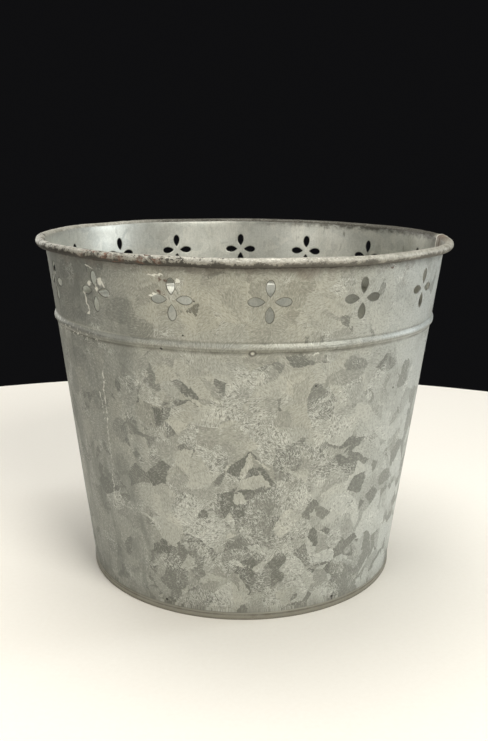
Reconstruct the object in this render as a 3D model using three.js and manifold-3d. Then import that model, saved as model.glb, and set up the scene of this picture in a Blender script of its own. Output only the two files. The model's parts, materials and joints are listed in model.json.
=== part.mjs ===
// A florist bucket of galvanised sheet steel, in millimetres, +Z up, standing on z = 0.
//
// The body is one tapered sheet. From the foot up it has the hook of the bottom seam, a plain cone, a
// swaged bead, a band pierced with four-petal flowers, and a rim curled outwards round a wire. Its two
// ends meet in a lap on the right-hand side. The bottom pan is recessed, and is double-seamed round the
// foot of the body. An azimuth is counted in degrees from the front, -Y, towards the right, +X.

import * as THREE from "three";
import { mergeGeometries, mergeVertices } from "three/addons/utils/BufferGeometryUtils.js";
import Module from "manifold-3d";

// Driving dimensions.
const RIM_DIAMETER = 254;
const HEIGHT = 210.4;
const SHEET = 0.4;
const CONE_FOOT_RADIUS = 97; // outside of the cone, carried down to the floor
const CONE_TOP_RADIUS = 122; // outside of the cone, carried up to the top of the rim

// The curled rim and its wire.
const CURL_RADIUS = 2.4;
const CURL_END = -160; // degrees round the curl, from its outermost point, where the sheet's edge stops
const WIRE_DIAMETER = 3.8;

// The swaged bead.
const BEAD_HEIGHT = 163.3;
const BEAD_WIDTH = 5;
const BEAD_PROUD = 1.3;

// The pierced flowers. A punch set by hand drifts: the spacing opens and closes by a few degrees in one turn.
const FLOWER_COUNT = 15;
const FLOWER_HEIGHT = 187.6;
const FLOWER_START = 9.8;
const FLOWER_DRIFT = 3.6;
const FLOWER_DRIFT_START = 12;
const PETALS = 4;
const PETAL_INNER = 2.7; // from the flower's middle to the point of a petal
const PETAL_OUTER = 10.9; // from the flower's middle to the round end
const PETAL_HALF_WIDTH = 2.15;
const PETAL_WIDEST = 7.4; // from the flower's middle to where a petal is widest

// The side lap.
const LAP_AZIMUTH = 91;
const LAP_WIDTH = 8;
const LAP_BOTTOM = 6.6;
const LAP_TOP = 205;
const LAP_LINE_WIDTH = 0.8; // the groove that shows the sheet's end on the outside
const LAP_LINE_DEPTH = 0.15;

// The double seam at the foot, whose layers are counted inwards from 0, the pan's outer skirt.
const SEAM_RADIUS = 98;
const SEAM_HEIGHT = 4.6;
const SEAM_GAP = 0.05; // between neighbouring layers
const LAYER = SHEET + SEAM_GAP;
const BODY_HOOK_TOP = SEAM_HEIGHT - 1;
const PAN_HOOK_BOTTOM = 1.5;
const FOOT_CORNER = 0.4; // bend radius under the seam, on the sheet's middle
const CONE_START = SEAM_HEIGHT + 1.6; // where the body has spread out to the cone
const SEALANT_SIZE = 0.3;

// The bottom pan.
const FLOOR_HEIGHT = 5.4; // its upper face
const FLOOR_CORNER = 0.8;
const FLOOR_RING_RADIUS = 66; // a pressed stiffening ring
const FLOOR_RING_WIDTH = 9;
const FLOOR_RING_RISE = 1;

const RING_SEGMENTS = 48;
const SLOPE = (CONE_TOP_RADIUS - CONE_FOOT_RADIUS) / HEIGHT;
const TILT = Math.atan(SLOPE);
const CUT_DEPTH = 5; // how far a cutter reaches along the wall's normal, half on each side

const wasm = await Module();
wasm.setup();

// ---- Outlines, as points (radius, height) ----

function arc(centre, radius, fromDegrees, toDegrees, steps) {
  return Array.from({ length: steps + 1 }, (_, i) => {
    const angle = THREE.MathUtils.degToRad(THREE.MathUtils.lerp(fromDegrees, toDegrees, i / steps));
    return new THREE.Vector2(radius, 0).rotateAround(new THREE.Vector2(), angle).add(centre);
  });
}

// The unit normal on the left of the step from one point to the next.
function leftNormal(from, to) {
  const along = to.clone().sub(from).normalize();
  return new THREE.Vector2(-along.y, along.x);
}

// A path moved to its left by a distance, with mitred corners.
function offsetPath(path, distance) {
  const last = path.length - 1;
  return path.map((point, i) => {
    const before = leftNormal(path[Math.max(i - 1, 0)], path[Math.max(i, 1)]);
    const after = leftNormal(path[Math.min(i, last - 1)], path[Math.min(i + 1, last)]);
    const middle = before.clone().add(after).normalize();
    return point.clone().addScaledVector(middle, distance / middle.dot(before));
  });
}

// The outline between two offsets of a path: the section of a bent sheet that follows it.
function sheetSection(path, left = SHEET / 2, right = -SHEET / 2) {
  return [...offsetPath(path, right), ...offsetPath(path, left).reverse()];
}

// A solid of revolution about Z. An outline that doesn't start on the axis is closed on itself.
function revolve(outline) {
  const startsOnAxis = Math.abs(outline[0].x) < 1e-6;
  const points = startsOnAxis ? outline : [...outline, outline[0].clone()];
  return new THREE.LatheGeometry(points, RING_SEGMENTS).rotateX(Math.PI / 2);
}

// ---- Solids for cutting and joining ----

function toSolid(geometry) {
  const bare = geometry.clone();
  bare.deleteAttribute("normal");
  bare.deleteAttribute("uv");
  const merged = mergeVertices(bare);
  return new wasm.Manifold(
    new wasm.Mesh({
      numProp: 3,
      vertProperties: merged.attributes.position.array,
      triVerts: Uint32Array.from(merged.index.array),
    }),
  );
}

function toGeometry(solid) {
  const mesh = solid.getMesh();
  const geometry = new THREE.BufferGeometry();
  geometry.setAttribute("position", new THREE.BufferAttribute(mesh.vertProperties, 3));
  geometry.setIndex(new THREE.BufferAttribute(mesh.triVerts, 1));
  geometry.computeVertexNormals();
  return geometry;
}

// ---- The body ----

const curlCentre = new THREE.Vector2(RIM_DIAMETER / 2 - CURL_RADIUS, HEIGHT - CURL_RADIUS);

// A point on the middle of the cone's sheet, moved outwards along its normal.
function conePoint(height, outwards = 0) {
  const outside = CONE_FOOT_RADIUS + SLOPE * height;
  const normal = new THREE.Vector2(Math.cos(TILT), -Math.sin(TILT));
  return new THREE.Vector2(outside, height).addScaledVector(normal, outwards - SHEET / 2);
}

function beadPath() {
  const steps = 6;
  return Array.from({ length: steps + 1 }, (_, i) => {
    const across = (2 * i) / steps - 1;
    const height = BEAD_HEIGHT + (across * BEAD_WIDTH) / 2;
    return conePoint(height, BEAD_PROUD * Math.cos((across * Math.PI) / 2));
  });
}

// From the wall over the top of the wire and round it. The lead-in closes from the wall's line to the curl.
function curlPath() {
  const middleRadius = CURL_RADIUS - SHEET / 2;
  const leadIn = 180 - THREE.MathUtils.radToDeg(TILT);
  const wallAtCurl = conePoint(curlCentre.y);
  const wallDistance = (curlCentre.x - wallAtCurl.x) * Math.cos(TILT);
  const steps = 3;
  const over = Array.from({ length: steps }, (_, i) => {
    const share = i / steps;
    const radius = THREE.MathUtils.lerp(wallDistance, middleRadius, THREE.MathUtils.smoothstep(share, 0, 1));
    const angle = THREE.MathUtils.lerp(leadIn, 90, share);
    return arc(curlCentre, radius, angle, angle, 1)[0];
  });
  const outer = arc(curlCentre, middleRadius, 90, 0, 3);
  const under = arc(curlCentre, middleRadius, 0, CURL_END, 5).slice(1);
  return [...over, ...outer, ...under];
}

function seamLayerRadius(layer) {
  return SEAM_RADIUS - SHEET / 2 - layer * LAYER;
}

// The body's hook: down outside the pan's hook, round under it and up again as the wall.
function bodyHookPath() {
  const foldCentre = new THREE.Vector2(seamLayerRadius(2), SHEET + SEAM_GAP + SHEET / 2 + LAYER);
  return [
    new THREE.Vector2(seamLayerRadius(1), BODY_HOOK_TOP),
    ...arc(foldCentre, LAYER, 0, -180, 4),
    new THREE.Vector2(seamLayerRadius(3), SEAM_HEIGHT),
  ];
}

function flowerAzimuth(index) {
  const even = (360 * index) / FLOWER_COUNT;
  const drift = Math.cos(THREE.MathUtils.degToRad(even + FLOWER_DRIFT_START));
  return FLOWER_START + even - FLOWER_DRIFT * drift;
}

// One petal, pointed at the flower's middle and round at its outer end, as a cutter across the wall.
function petalCutter() {
  const bulge = THREE.MathUtils.lerp(PETAL_INNER, PETAL_WIDEST, 0.5);
  const shape = new THREE.Shape();
  shape.moveTo(0, PETAL_INNER);
  shape.quadraticCurveTo(PETAL_HALF_WIDTH, bulge, PETAL_HALF_WIDTH, PETAL_WIDEST);
  shape.absellipse(0, PETAL_WIDEST, PETAL_HALF_WIDTH, PETAL_OUTER - PETAL_WIDEST, 0, Math.PI, false);
  shape.quadraticCurveTo(-PETAL_HALF_WIDTH, bulge, 0, PETAL_INNER);
  const extrusion = { depth: CUT_DEPTH, bevelEnabled: false, curveSegments: 2 };
  return new THREE.ExtrudeGeometry(shape, extrusion).translate(0, 0, -CUT_DEPTH / 2);
}

// The frame on the wall's outside at an azimuth and height: x to the right, y up the slope, z outwards.
function wallFrame(azimuthDegrees, height) {
  const azimuth = THREE.MathUtils.degToRad(azimuthDegrees);
  const across = new THREE.Vector3(Math.cos(azimuth), Math.sin(azimuth), 0);
  const outwards = new THREE.Vector3(Math.sin(azimuth), -Math.cos(azimuth), 0);
  const upSlope = outwards.clone().multiplyScalar(Math.sin(TILT)).setZ(Math.cos(TILT));
  const radius = CONE_FOOT_RADIUS + SLOPE * height;
  const position = outwards.clone().multiplyScalar(radius).setZ(height);
  const normal = across.clone().cross(upSlope);
  return new THREE.Matrix4().makeBasis(across, upSlope, normal).setPosition(position);
}

function flowerCutters() {
  const petal = petalCutter();
  const cutters = [];
  for (let flower = 0; flower < FLOWER_COUNT; flower++) {
    const frame = wallFrame(flowerAzimuth(flower), FLOWER_HEIGHT);
    for (let i = 0; i < PETALS; i++) {
      cutters.push(petal.clone().rotateZ((2 * Math.PI * i) / PETALS).applyMatrix4(frame));
    }
  }
  return toSolid(mergeGeometries(cutters));
}

// A strip of the body's own shape, between two offsets from the sheet's middle, cut to a width at an azimuth.
function wallStrip(azimuthDegrees, width, left, right) {
  const path = [conePoint(LAP_BOTTOM), ...beadPath(), conePoint(LAP_TOP)];
  const ring = toSolid(revolve(sheetSection(path, left, right)));
  const block = new THREE.BoxGeometry(width, RIM_DIAMETER, 2 * HEIGHT)
    .translate(0, -RIM_DIAMETER / 2, 0)
    .rotateZ(THREE.MathUtils.degToRad(azimuthDegrees));
  return ring.intersect(toSolid(block));
}

function bodyWall() {
  const path = [...bodyHookPath(), conePoint(CONE_START), ...beadPath(), ...curlPath()];
  const sheet = toSolid(revolve(sheetSection(path)));
  const lap = wallStrip(LAP_AZIMUTH, LAP_WIDTH, 1.5 * SHEET, 0);
  const lineAzimuth = LAP_AZIMUTH - THREE.MathUtils.radToDeg(LAP_WIDTH / 2 / CONE_TOP_RADIUS);
  const line = wallStrip(lineAzimuth, LAP_LINE_WIDTH, LAP_LINE_DEPTH - SHEET / 2, -SHEET);
  return toGeometry(sheet.add(lap).subtract(line).subtract(flowerCutters()));
}

// ---- The other pieces ----

// From the middle of the floor out, down inside the body, under it, up its outside and back down as a hook.
function panPath() {
  const floor = FLOOR_HEIGHT - SHEET / 2;
  const [skirt, wall] = [seamLayerRadius(0), seamLayerRadius(4)];
  const foot = SHEET / 2 + FOOT_CORNER;
  const ring = [-1, -0.5, 0.5, 1].map((across, i) => {
    const rise = i === 1 || i === 2 ? FLOOR_RING_RISE : 0;
    return new THREE.Vector2(FLOOR_RING_RADIUS + (across * FLOOR_RING_WIDTH) / 2, floor + rise);
  });
  const hookTop = new THREE.Vector2(seamLayerRadius(1), SEAM_HEIGHT - SHEET / 2 - LAYER);
  return [
    new THREE.Vector2(0, floor),
    ...ring,
    ...arc(new THREE.Vector2(wall - FLOOR_CORNER, floor - FLOOR_CORNER), FLOOR_CORNER, 90, 0, 3),
    ...arc(new THREE.Vector2(wall + FOOT_CORNER, foot), FOOT_CORNER, 180, 270, 2),
    ...arc(new THREE.Vector2(skirt - FOOT_CORNER, foot), FOOT_CORNER, -90, 0, 2),
    ...arc(hookTop, LAYER, 0, 180, 4),
    new THREE.Vector2(seamLayerRadius(2), PAN_HOOK_BOTTOM),
  ];
}

function rimWire() {
  return revolve(arc(curlCentre, WIRE_DIAMETER / 2, 0, 360, 8).slice(0, -1));
}

// A thread of compound in the top fold of the seam, over the body's hook.
function seamSealant() {
  const centre = new THREE.Vector2(seamLayerRadius(1), BODY_HOOK_TOP + SEAM_GAP + SEALANT_SIZE / 2);
  return revolve(arc(centre, SEALANT_SIZE * Math.SQRT1_2, 45, 405, 4).slice(0, -1));
}

function piece(name, geometry, color, roughness, metalness) {
  const mesh = new THREE.Mesh(geometry, new THREE.MeshStandardMaterial({ color, roughness, metalness }));
  mesh.name = name;
  return mesh;
}

const bucket = new THREE.Group();
bucket.name = "florist_bucket";
bucket.add(
  piece("body_wall", bodyWall(), 0xa3a59a, 0.45, 0.7),
  piece("bottom_pan", revolve(sheetSection(panPath())), 0x8c8a80, 0.55, 0.6),
  piece("rim_wire", rimWire(), 0x6e6a64, 0.5, 0.8),
  piece("bottom_seam_sealant", seamSealant(), 0x4a4a48, 0.9, 0),
);

export default bucket;
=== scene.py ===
"""The florist bucket's looks: thin sheet-metal shells and galvanised materials for the CAD frame."""

import json
import math
import random

import bpy
import numpy as np
from mathutils import Matrix, Vector
from mathutils.geometry import delaunay_2d_cdt

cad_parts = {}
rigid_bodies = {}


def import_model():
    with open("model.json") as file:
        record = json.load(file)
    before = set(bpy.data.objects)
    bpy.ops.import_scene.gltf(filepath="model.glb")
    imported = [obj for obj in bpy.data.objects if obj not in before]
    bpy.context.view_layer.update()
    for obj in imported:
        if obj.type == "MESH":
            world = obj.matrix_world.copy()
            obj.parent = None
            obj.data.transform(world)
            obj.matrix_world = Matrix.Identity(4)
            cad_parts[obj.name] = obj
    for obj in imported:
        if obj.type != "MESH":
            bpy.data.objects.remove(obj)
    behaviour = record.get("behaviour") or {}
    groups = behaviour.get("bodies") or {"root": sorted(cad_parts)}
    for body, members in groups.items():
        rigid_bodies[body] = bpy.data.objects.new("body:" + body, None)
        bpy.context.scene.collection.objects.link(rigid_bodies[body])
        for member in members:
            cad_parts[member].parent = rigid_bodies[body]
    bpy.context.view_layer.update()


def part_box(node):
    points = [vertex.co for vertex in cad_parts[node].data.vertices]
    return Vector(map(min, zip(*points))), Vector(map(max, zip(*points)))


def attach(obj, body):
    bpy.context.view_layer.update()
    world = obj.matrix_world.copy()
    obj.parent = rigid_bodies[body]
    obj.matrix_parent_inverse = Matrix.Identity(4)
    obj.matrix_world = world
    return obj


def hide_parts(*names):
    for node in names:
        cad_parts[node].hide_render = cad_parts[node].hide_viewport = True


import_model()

# ---- Sizes, in millimetres. An azimuth is in degrees from the front, -Y, towards the right, +X. ----

MM = 0.001
RIM_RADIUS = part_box("body_wall")[1].x / MM
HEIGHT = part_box("body_wall")[1].z / MM
SEAM_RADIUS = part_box("bottom_pan")[1].x / MM
SHEET = 0.4
CONE_FOOT_RADIUS = 97.0
CONE_TOP_RADIUS = 122.0
SLOPE = (CONE_TOP_RADIUS - CONE_FOOT_RADIUS) / HEIGHT
TILT = math.atan(SLOPE)

CURL_RADIUS = 2.4
CURL_END = -160.0
WIRE_RADIUS = 1.9
BEAD_HEIGHT = 163.3
BEAD_WIDTH = 5.0
BEAD_PROUD = 1.3

FLOWER_COUNT = 15
FLOWER_HEIGHT = 187.6
FLOWER_START = 9.8
FLOWER_DRIFT = 3.6
FLOWER_DRIFT_START = 12.0
PETAL_INNER = 2.7
PETAL_OUTER = 10.9
PETAL_HALF_WIDTH = 2.15
PETAL_WIDEST = 7.4
PETAL_MARGIN = 1.25  # the band's even grid keeps this far from the petals
PETAL_RINGS = (0.16, 0.4, 0.8)  # closer points round each petal, at these distances
FAR = 9.0  # an edge distance for points that no petal is near
EDGE_THINNING = 0.11
BAND_BOTTOM = 173.0
BAND_TOP = 202.0

LAP_AZIMUTH = 91.0
LAP_WIDTH = 8.0
LAP_BOTTOM = 6.6
LAP_HALF_ANGLE = math.degrees(LAP_WIDTH / 2 / CONE_TOP_RADIUS)
LAP_FRONT = LAP_AZIMUTH - LAP_HALF_ANGLE
LAP_BACK = LAP_AZIMUTH + LAP_HALF_ANGLE
LAP_LINE_WIDTH = 0.8
LAP_LINE_HALF_ANGLE = math.degrees(LAP_LINE_WIDTH / 2 / CONE_TOP_RADIUS)
LAP_LINE_DEPTH = 0.15
LAP_LIFT = 0.30
LAP_STEP_IN_CURL = 0.36

SEAM_HEIGHT = 4.6
SEAM_GAP = 0.05
SEAM_GROOVE = 0.16
SEAM_GROOVE_HEIGHT = 3.3
LAYER = SHEET + SEAM_GAP
BODY_HOOK_TOP = SEAM_HEIGHT - 1
PAN_HOOK_BOTTOM = 1.5
FOOT_CORNER = 0.4
CONE_START = SEAM_HEIGHT + 1.6
SEALANT_SIZE = 0.3
FLOOR_HEIGHT = 5.4
FLOOR_CORNER = 0.8
FLOOR_RING_RADIUS = 66.0
FLOOR_RING_WIDTH = 9.0
FLOOR_RING_RISE = 1.0

COLUMNS = 360
SHEET_RADIUS = 110.0  # turns an azimuth into a distance along the sheet
WRAP = LAP_BACK - 360  # the columns start and end at the lap's back edge
OUTSIDE, INSIDE, RIM, CUT_EDGE = range(4)  # the body's material slots
SHARP_ANGLE = 40


# ---- Small helpers ----


def smoothstep(low, high, value):
    share = np.clip((value - low) / (high - low), 0, 1)
    return share * share * (3 - 2 * share)


def wobble(seed, azimuth, along, around, up, waves=7):
    """A smooth random field of about -1 to 1 that closes on itself round the bucket."""
    draw = random.Random(seed)
    total = 0.0
    for _ in range(waves):
        turns = draw.randint(*around)
        pitch = draw.uniform(-up, up)
        phase = draw.uniform(0, 2 * math.pi)
        total = total + np.cos(np.radians(azimuth) * turns + along * pitch + phase)
    return total / waves**0.5


def arc(centre, radius, start, end, steps):
    """Points (radius, height) on an arc, its angles in degrees."""
    angles = np.radians(np.linspace(start, end, steps + 1))
    return [(centre[0] + radius * math.cos(a), centre[1] + radius * math.sin(a)) for a in angles]


def line(start, end, steps):
    return [tuple(np.add(start, np.subtract(end, start) * i / steps)) for i in range(steps + 1)]


def right_normals(path):
    """Unit normals on the right of a path of (radius, height) points."""
    along = np.gradient(np.asarray(path, float), axis=0)
    along /= np.linalg.norm(along, axis=1)[:, None]
    return np.column_stack([along[:, 1], -along[:, 0]])


def to_xyz(azimuth, radius, height):
    """Metres from an azimuth in degrees and a radius and height in millimetres."""
    angle = np.radians(azimuth)
    across, ahead = radius * np.sin(angle), radius * np.cos(angle)
    return np.column_stack([across, -ahead, height + 0 * angle]) * MM


def rim_shift(azimuth):
    """How far the rolled rim strays, outwards and up. It is rolled by hand, so it mostly sags inwards."""
    out = 0.10 * (wobble(11, azimuth, 0, (3, 9), 0) - 1.4)
    up = 0.13 * (wobble(12, azimuth, 0, (4, 14), 0) - 2.2)
    return out, up


# ---- Meshes ----


def make_object(name, vertices, faces, materials, slots=None):
    mesh = bpy.data.meshes.new(name)
    mesh.from_pydata(np.asarray(vertices).tolist(), [], faces)
    for material in materials:
        mesh.materials.append(material)
    if slots is not None:
        mesh.polygons.foreach_set("material_index", np.asarray(slots, np.int32))
    mesh.shade_smooth()
    mesh.set_sharp_from_angle(angle=math.radians(SHARP_ANGLE))
    mesh.validate()
    piece = bpy.data.objects.new(name, mesh)
    bpy.context.scene.collection.objects.link(piece)
    return piece


def revolved(name, outline, material, strays=None, columns=360):
    """A ring or disc of revolution. The outline is closed; points on the axis become one vertex each."""
    azimuths = np.arange(columns) * 360 / columns
    vertices, rings = [], []
    for radius, height in outline:
        if radius < 1e-6:
            rings.append([len(vertices)] * columns)
            vertices.append((0.0, 0.0, height * MM))
            continue
        out, up = strays(azimuths, radius, height) if strays else (0.0, 0.0)
        rings.append(list(range(len(vertices), len(vertices) + columns)))
        vertices.extend(to_xyz(azimuths, radius + out, height + up).tolist())
    faces = []
    for lower, upper in zip(rings, rings[1:] + rings[:1]):
        for i in range(columns):
            j = (i + 1) % columns
            face = list(dict.fromkeys((lower[i], lower[j], upper[j], upper[i])))
            if len(face) > 2:
                faces.append(face)
    return make_object(name, vertices, faces, [material])


# ---- The body's path: hook, cone, bead, band, curl ----


def cone_point(height, outwards=0.0):
    """A point on the middle of the cone's sheet, moved outwards along its normal."""
    offset = outwards - SHEET / 2
    radius = CONE_FOOT_RADIUS + SLOPE * height + offset * math.cos(TILT)
    return radius, height - offset * math.sin(TILT)


def seam_layer(layer):
    """The radius of one layer of the double seam, counted inwards from the pan's skirt."""
    return SEAM_RADIUS - SHEET / 2 - layer * LAYER


def hook_path():
    """Down inside the pan's fold, round under the pan's hook, up again and closely over the fold."""
    turn = (seam_layer(2), SHEET + SEAM_GAP + SHEET / 2 + LAYER)
    down = line((seam_layer(1), BODY_HOOK_TOP), (seam_layer(1), turn[1]), 2)[:-1]
    fold = (seam_layer(1), SEAM_HEIGHT - SHEET / 2 - LAYER)
    over = arc(fold, 2 * LAYER, 180, 75, 8)
    up = line((seam_layer(3), turn[1]), over[0], 2)[1:-1]
    return down + arc(turn, LAYER, 0, -180, 8) + up + over


def bead_path():
    points = []
    steps = 14
    for i in range(1, steps):
        across = 2 * i / steps - 1
        arch = BEAD_PROUD * math.cos(across * math.pi / 2)
        points.append(cone_point(BEAD_HEIGHT + across * BEAD_WIDTH / 2, arch))
    return points


def curl_path():
    """From the wall's line over the wire and round it."""
    centre = (RIM_RADIUS - CURL_RADIUS, HEIGHT - CURL_RADIUS)
    middle = CURL_RADIUS - SHEET / 2
    lead_in = 180 - math.degrees(TILT)
    wall = (centre[0] - cone_point(centre[1])[0]) * math.cos(TILT)
    over = []
    steps = 8
    for i in range(steps):
        share = i / steps
        radius = wall + (middle - wall) * float(smoothstep(0, 1, share))
        over += arc(centre, radius, lead_in + (90 - lead_in) * share, 0, 1)[:1]
    return over + arc(centre, middle, 90, CURL_END, 28)


def band_rows(start, end, step):
    return [cone_point(z) for z in np.linspace(start, end, max(2, round((end - start) / step) + 1))]


def wall_paths():
    """The path below the pierced band and the path above it, each as (radius, height) points."""
    bead_low, bead_high = BEAD_HEIGHT - BEAD_WIDTH / 2, BEAD_HEIGHT + BEAD_WIDTH / 2
    below = hook_path() + band_rows(CONE_START, bead_low, 7.5) + bead_path()
    below += band_rows(bead_high, BAND_BOTTOM, 2.4)
    curl = curl_path()
    above = band_rows(BAND_TOP, curl[0][1] - 1.5, 1.5) + curl
    return below, above


def wall_columns():
    """Azimuths round the sheet, from the lap's back edge, with closer ones at the lap's edges."""
    offsets = (-LAP_LINE_HALF_ANGLE - 0.05, -LAP_LINE_HALF_ANGLE, -0.03, 0.03)
    offsets += (LAP_LINE_HALF_ANGLE, LAP_LINE_HALF_ANGLE + 0.05)
    close = [LAP_FRONT + offset for offset in offsets]
    close += list(np.linspace(LAP_FRONT + 0.6, LAP_BACK - 0.06, 5))
    even = WRAP + np.arange(COLUMNS) * 360 / COLUMNS
    return np.array([a for a in even if a < LAP_FRONT - LAP_LINE_HALF_ANGLE - 0.3] + close)


# ---- Pierced flowers ----


def flower_azimuth(index):
    even = 360 * index / FLOWER_COUNT
    drift = math.cos(math.radians(even + FLOWER_DRIFT_START))
    azimuth = FLOWER_START + even - FLOWER_DRIFT * drift
    return azimuth - 360 if azimuth > LAP_AZIMUTH else azimuth


def petal_half_width(along):
    """Half the petal's width at a distance from the flower's middle; 0 outside the petal."""
    share = (along - PETAL_INNER) / (PETAL_WIDEST - PETAL_INNER)
    side = PETAL_HALF_WIDTH * (2 * share - share**2)
    end = np.clip((along - PETAL_WIDEST) / (PETAL_OUTER - PETAL_WIDEST), 0, 1)
    round_end = PETAL_HALF_WIDTH * np.sqrt(1 - end**2)
    inside = (along > PETAL_INNER) & (along < PETAL_OUTER)
    return np.where(inside, np.where(along < PETAL_WIDEST, side, round_end), 0.0)


def petal_outline():
    """Points (across, along) round one petal, from its inner point anticlockwise."""
    shares = np.linspace(0, 1, 9)[1:]
    angles = np.radians(np.linspace(0, 90, 8)[1:])
    side = PETAL_INNER + (PETAL_WIDEST - PETAL_INNER) * shares
    cap = PETAL_WIDEST + (PETAL_OUTER - PETAL_WIDEST) * np.sin(angles)
    across = PETAL_HALF_WIDTH * np.concatenate([2 * shares - shares**2, np.cos(angles)])
    right = list(zip(across, np.concatenate([side, cap])))
    left = [(-x, y) for x, y in reversed(right[:-1])]
    return np.array([(0.0, PETAL_INNER)] + right + left)


def grown(outline, distance):
    """The outline moved outwards by a distance."""
    along = np.roll(outline, -1, axis=0) - np.roll(outline, 1, axis=0)
    along /= np.linalg.norm(along, axis=1)[:, None]
    return outline + distance * np.column_stack([along[:, 1], -along[:, 0]])


def turned(points, degrees):
    c, s = math.cos(math.radians(degrees)), math.sin(math.radians(degrees))
    return points @ np.array([[c, s], [-s, c]])


def on_band(points, flower):
    """Azimuth and height of points (across, up the slope) round a flower's middle."""
    height = FLOWER_HEIGHT + points[:, 1] * math.cos(TILT)
    radius = CONE_FOOT_RADIUS + SLOPE * height
    return np.column_stack([flower_azimuth(flower) + np.degrees(np.arcsin(points[:, 0] / radius)), height])


def petal_local(azimuth, height, flower, quarter):
    """Points of the band as (across, along) of one petal."""
    radius = CONE_FOOT_RADIUS + SLOPE * height
    across = np.sin(np.radians(azimuth - flower_azimuth(flower))) * radius
    up = (height - FLOWER_HEIGHT) / math.cos(TILT)
    near = np.abs(azimuth - flower_azimuth(flower)) < 20
    points = turned(np.column_stack([across, up]), -90 * quarter)
    points[~near] = 1000.0
    return points


def in_a_petal(azimuth, height, margin=0.0):
    found = np.zeros(len(azimuth), bool)
    for flower in range(FLOWER_COUNT):
        for quarter in range(4):
            local = petal_local(azimuth, height, flower, quarter)
            middle = np.clip(local[:, 1], PETAL_INNER + 0.01, PETAL_OUTER - 0.01)
            gap_across = np.maximum(np.abs(local[:, 0]) - petal_half_width(middle), 0)
            gap = np.hypot(gap_across, local[:, 1] - middle)
            width = petal_half_width(local[:, 1])
            found |= (np.abs(local[:, 0]) < width) | (gap < margin)
    return found


def pierced_band(columns):
    """The band as a triangulated sheet: points (azimuth, height, edge distance), triangles, outlines.

    Its first points are the bottom row and then the top row, one for each column and one more at the wrap.
    Two short columns at the wrap follow. The lengths of a row and of such a column are returned too.
    """
    wrapped = np.append(columns, columns[0] + 360)
    points = [(a, z, FAR) for z in (BAND_BOTTOM, BAND_TOP) for a in wrapped]
    rows = np.linspace(BAND_BOTTOM, BAND_TOP, 15)[1:-1]
    points += [(a, z, FAR) for a in (wrapped[0], wrapped[-1]) for z in rows]
    grid = np.array([(a, z) for z in rows for a in wrapped[1:-1]])
    grid = grid[~in_a_petal(grid[:, 0], grid[:, 1], PETAL_MARGIN)]
    points += [(a, z, FAR) for a, z in grid]
    outlines, edges = [], []
    outline = petal_outline()
    for flower in range(FLOWER_COUNT):
        for quarter in range(4):
            ring = range(len(points), len(points) + len(outline))
            outlines.append(ring)
            edges += zip(ring, (*ring[1:], ring[0]))
            for distance in (0.0, *PETAL_RINGS):
                wider = on_band(turned(grown(outline, distance), 90 * quarter), flower)
                points += [(a, z, distance) for a, z in wider]
    points = np.array(points)
    flat = [Vector((math.radians(a) * CONE_TOP_RADIUS, z)) for a, z, _ in points]
    found, _, triangles, _, _, _ = delaunay_2d_cdt(flat, edges, [], 0, 1e-6)
    if len(found) != len(flat):
        raise ValueError("the band's points merged")
    corners = points[np.array(triangles)]
    middle = corners.mean(axis=1)
    kept = ~in_a_petal(middle[:, 0], middle[:, 1])
    return points, np.array(triangles)[kept], outlines, len(wrapped), len(rows)


# ---- The body's shell ----


def dented(azimuth, radius, height, normal, curl):
    """The hand-made wall: the sheet's middle after its oil-canning, uneven bead and wandering rim."""
    reach = smoothstep(8, 30, height) * (1 - smoothstep(196, 206, height))
    pull = 0.20 * wobble(1, azimuth, height, (2, 7), 0.035)
    pull = pull + 0.05 * wobble(2, azimuth, height, (12, 30), 0.2, 10)
    on_bead = np.exp(-(((height - BEAD_HEIGHT) / 3.2) ** 2))
    lift = 0.22 * wobble(3, azimuth, 0, (3, 12), 0) * on_bead
    bead_pull = 0.10 * wobble(4, azimuth, 0, (9, 40), 0, 9) * on_bead
    out, up = rim_shift(azimuth)
    from_lap_end = np.mod(azimuth - LAP_BACK + 180, 360) - 180
    up = up + LAP_LIFT * np.exp(-((from_lap_end / 1.3) ** 2))
    weight = np.where(curl, 1.0, smoothstep(200, 207.5, height))
    pull = pull * reach + bead_pull
    return radius + normal[:, 0] * pull + out * weight, height + normal[:, 1] * pull + lift + up * weight


def lap_rise(azimuth, height, curl):
    """How much the lapped end thickens the sheet on its inside."""
    inside = np.abs(azimuth - LAP_AZIMUTH) < LAP_HALF_ANGLE - 0.03
    step = np.where(curl, LAP_STEP_IN_CURL, SHEET * smoothstep(LAP_BOTTOM, LAP_BOTTOM + 0.3, height))
    return np.where(inside, step, 0.0)


def lap_groove(azimuth, height, curl):
    """The fine groove along the outer end of the sheet."""
    side = 0.05
    depth = np.clip((LAP_LINE_HALF_ANGLE + side - np.abs(azimuth - LAP_FRONT)) / side, 0, 1)
    return LAP_LINE_DEPTH * depth * (height > LAP_BOTTOM) * ~curl


def wall_surface(azimuth, radius, height, normal, curl, edge, side):
    """One face of the sheet, in metres. side is 1 outside and -1 inside."""
    middle_radius, middle_height = dented(azimuth, radius, height, normal, curl)
    thick = SHEET / 2 - EDGE_THINNING * (1 - smoothstep(0.0, 0.4, edge))
    if side > 0:
        thick = thick - lap_groove(azimuth, height, curl)
    else:
        lumps = 0.5 * wobble(21, azimuth, height, (20, 90), 0.9, 12) - 0.6
        thick = thick + np.where(curl, 0.07 * lumps, 0.0) + lap_rise(azimuth, height, curl)
    offset = side * normal * thick[:, None]
    return to_xyz(azimuth, middle_radius + offset[:, 0], middle_height + offset[:, 1])


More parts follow.
